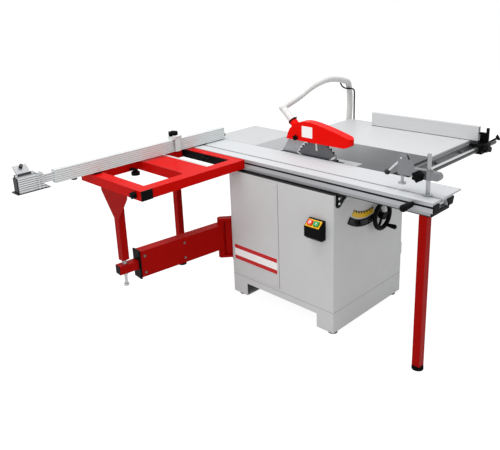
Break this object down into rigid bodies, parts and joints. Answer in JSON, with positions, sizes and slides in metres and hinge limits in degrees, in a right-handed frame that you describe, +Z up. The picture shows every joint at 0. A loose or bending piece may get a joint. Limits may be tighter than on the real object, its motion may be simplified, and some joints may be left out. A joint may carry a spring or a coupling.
{
  "type": "sliding table saw",
  "caption": "Cabinet saw with tilting guarded blade, iron table, long sliding table with red outrigger, swing arm and crosscut fence, rip fence, hold-down clamp and overhead dust hose.",
  "frame": {"origin": "middle of the footprint of all parts but the hose, on the floor", "axes": "+X towards the rip fence, +Y along the cut away from the operator, +Z up"},
  "size_m": [2.395, 1.844, 1.198],
  "materials": {
    "grey_paint": "fine textured light grey powder coat",
    "red_paint": "smooth red enamel",
    "guard_red": "moulded bright red plastic",
    "iron": "ground and oiled cast iron",
    "sheet_grey": "light grey coated sheet",
    "alu": "extruded and anodised aluminium",
    "steel": "bright machined steel",
    "chrome": "hard chromed ground bar",
    "black": "black moulded plastic",
    "black_metal": "black enamel",
    "rubber": "black rubber",
    "yellow": "yellow moulded plastic",
    "green": "green button plastic",
    "stop_red": "red button plastic",
    "casting": "grey painted casting",
    "hose_white": "off-white flexible plastic",
    "brass": "brass ball cage",
    "motor_grey": "motor enamel"
  },
  "bodies": {
    "base": {"plinth": "grey_paint", "cabinet": "grey_paint", "side_cover": "grey_paint", "feet": "rubber", "iron_table": "iron", "table_insert": "alu", "extension_table": "sheet_grey", "outfeed_table": "sheet_grey", "rip_rail": "chrome", "rail_scale": "alu", "trunnions": "casting", "slide_rail": "alu", "rail_fittings": "black_metal", "rail_legs": "red_paint", "switch_box": "black", "switch_plate": "yellow", "arm_bracket": "red_paint", "dust_port": "black", "power_inlet": "black", "hose_hook": "black_metal", "dust_hose": "hose_white"},
    "start_button": {"start_button": "green"},
    "stop_button": {"stop_button": "stop_red"},
    "tilt_unit": {"tilt_cradle": "casting", "riving_knife": "steel", "blade_guard": "guard_red", "guard_elbow": "hose_white"},
    "guard_knob": {"guard_knob": "black"},
    "handwheel": {"handwheel": "black"},
    "crank_handle": {"crank_handle": "black"},
    "lift_screw": {"lift_screw": "steel"},
    "lift_unit": {"lift_carriage": "casting", "motor": "motor_grey", "drive_belt": "rubber"},
    "spindle": {"arbor": "steel", "saw_blade": "steel"},
    "motor_pulley": {"motor_pulley": "steel"},
    "table": {"sliding_table": "alu", "end_caps": "black", "push_handle": "black", "outrigger_frame": "red_paint", "outrigger_leg": "red_paint"},
    "ball_cage": {"ball_cage": "brass"},
    "outrigger_lever": {"outrigger_lever": "black"},
    "crosscut": {"crosscut_fence": "alu"},
    "flip_stop": {"fence_stop": "alu"},
    "stop_flap": {"stop_flap": "steel"},
    "stop_knob": {"stop_knob": "black"},
    "end_stop": {"end_stop": "alu"},
    "end_flap": {"end_flap": "steel"},
    "clamp_column": {"clamp_column": "chrome"},
    "clamp_arm": {"clamp_arm": "casting"},
    "clamp_lever": {"clamp_lever": "chrome"},
    "clamp_foot": {"clamp_foot": "steel"},
    "clamp_knob": {"clamp_knob": "black"},
    "rip_carriage": {"rip_carriage": "black_metal"},
    "rip_fence": {"rip_fence": "alu"},
    "rip_knob": {"rip_knob": "black"},
    "swing_arm": {"swing_arm": "red_paint"},
    "inner_tube": {"inner_tube": "red_paint"}
  },
  "joints": [
    {"name": "start_press", "type": "slide", "parent": "base", "child": "start_button", "axis": [0.6668, 0, -0.7452], "range_m": [0, 0.004], "stiffness_N_per_m": 800},
    {"name": "stop_press", "type": "slide", "parent": "base", "child": "stop_button", "axis": [0.6668, 0, -0.7452], "range_m": [0, 0.004], "stiffness_N_per_m": 800},
    {"name": "blade_tilt", "type": "hinge", "parent": "base", "child": "tilt_unit", "pos_m": [0.1875, -0.074, 0.85], "axis": [0, 1, 0], "range_deg": [0, 45], "deforming": ["dust_hose"]},
    {"name": "guard_knob_turn", "type": "hinge", "parent": "tilt_unit", "child": "guard_knob", "pos_m": [0.1595, 0.055, 0.95], "axis": [-1, 0, 0], "continuous": true},
    {"name": "wheel_turn", "type": "hinge", "parent": "tilt_unit", "child": "handwheel", "pos_m": [0.2725, -0.442, 0.573], "axis": [0, -1, 0], "range_deg": [-4500, 0]},
    {"name": "crank_spin", "type": "hinge", "parent": "handwheel", "child": "crank_handle", "pos_m": [0.3053, -0.442, 0.5115], "axis": [0, -1, 0], "continuous": true},
    {"name": "screw_turn", "type": "hinge", "parent": "tilt_unit", "child": "lift_screw", "pos_m": [0.2725, -0.304, 0.573], "axis": [0, 0, 1], "range_deg": [-4500, 0]},
    {"name": "blade_lift", "type": "slide", "parent": "tilt_unit", "child": "lift_unit", "axis": [0, 0, 1], "range_m": [-0.1, 0]},
    {"name": "blade_spin", "type": "hinge", "parent": "lift_unit", "child": "spindle", "pos_m": [0.1875, -0.074, 0.79], "axis": [1, 0, 0], "continuous": true},
    {"name": "motor_spin", "type": "hinge", "parent": "lift_unit", "child": "motor_pulley", "pos_m": [0.1875, -0.074, 0.55], "axis": [1, 0, 0], "continuous": true},
    {"name": "table_slide", "type": "slide", "parent": "base", "child": "table", "axis": [0, 1, 0], "range_m": [0, 0.8]},
    {"name": "cage_slide", "type": "slide", "parent": "base", "child": "ball_cage", "axis": [0, 1, 0], "range_m": [0, 0.4]},
    {"name": "lever_turn", "type": "hinge", "parent": "table", "child": "outrigger_lever", "pos_m": [-0.1345, 0.50784, 0.821], "axis": [-1, 0, 0], "range_deg": [-60, 10]},
    {"name": "fence_mitre", "type": "hinge", "parent": "table", "child": "crosscut", "pos_m": [-0.0105, 0.667, 0.85], "axis": [0, 0, 1], "range_deg": [-45, 45]},
    {"name": "stop_slide", "type": "slide", "parent": "crosscut", "child": "flip_stop", "axis": [1, 0, 0], "range_m": [-0.6, 0.15]},
    {"name": "stop_flip", "type": "hinge", "parent": "flip_stop", "child": "stop_flap", "pos_m": [-0.2225, 0.633, 0.948], "axis": [-1, 0, 0], "range_deg": [0, 150]},
    {"name": "stop_knob_turn", "type": "hinge", "parent": "flip_stop", "child": "stop_knob", "pos_m": [-0.2225, 0.671, 0.947], "axis": [0, 0, 1], "continuous": true},
    {"name": "extension_slide", "type": "slide", "parent": "crosscut", "child": "end_stop", "axis": [-1, 0, 0], "range_m": [-0.04, 0.4]},
    {"name": "end_flip", "type": "hinge", "parent": "end_stop", "child": "end_flap", "pos_m": [-1.1895, 0.677, 0.935], "axis": [1, 0, 0], "range_deg": [0, 95]},
    {"name": "clamp_slide", "type": "slide", "parent": "table", "child": "clamp_column", "axis": [0, 1, 0], "range_m": [0, 0.6]},
    {"name": "clamp_height", "type": "slide", "parent": "clamp_column", "child": "clamp_arm", "axis": [0, 0, 1], "range_m": [-0.025, 0.05]},
    {"name": "cam_turn", "type": "hinge", "parent": "clamp_arm", "child": "clamp_lever", "pos_m": [-0.0105, -0.72, 1.005], "axis": [1, 0, 0], "range_deg": [0, 100]},
    {"name": "press_move", "type": "slide", "parent": "clamp_arm", "child": "clamp_foot", "axis": [0, 0, 1], "range_m": [0, 0.0045]},
    {"name": "clamp_knob_turn", "type": "hinge", "parent": "clamp_arm", "child": "clamp_knob", "pos_m": [-0.0105, -0.815, 0.941], "axis": [-1, 0, 0], "continuous": true},
    {"name": "rip_slide", "type": "slide", "parent": "base", "child": "rip_carriage", "axis": [1, 0, 0], "range_m": [-0.56, 0.03]},
    {"name": "rip_shift", "type": "slide", "parent": "rip_carriage", "child": "rip_fence", "axis": [0, 1, 0], "range_m": [-0.03, 0.12]},
    {"name": "rip_knob_turn", "type": "hinge", "parent": "rip_carriage", "child": "rip_knob", "pos_m": [0.9795, -0.651, 0.827], "axis": [0, -1, 0], "continuous": true},
    {"name": "arm_swing", "type": "hinge", "parent": "base", "child": "swing_arm", "pos_m": [-0.1325, 0.396, 0.3], "axis": [0, 0, -1], "range_deg": [0, 52]},
    {"name": "tube_slide", "type": "slide", "parent": "swing_arm", "child": "inner_tube", "axis": [-0.9935, 0.1135, 0], "range_m": [0, 0.394]}
  ],
  "couplings": [
    {"joint": "screw_turn", "follows": "blade_lift", "rad_per_m": 785.4},
    {"joint": "wheel_turn", "follows": "blade_lift", "rad_per_m": 785.4},
    {"joint": "motor_spin", "follows": "blade_spin", "ratio": 0.71429},
    {"joint": "cage_slide", "follows": "table_slide", "ratio": 0.5},
    {"joint": "arm_swing", "follows": "table_slide", "rad_per_m": 1.11},
    {"joint": "tube_slide", "follows": "table_slide", "ratio": 0.48},
    {"joint": "press_move", "follows": "cam_turn", "m_per_rad": 0.002292}
  ]
}
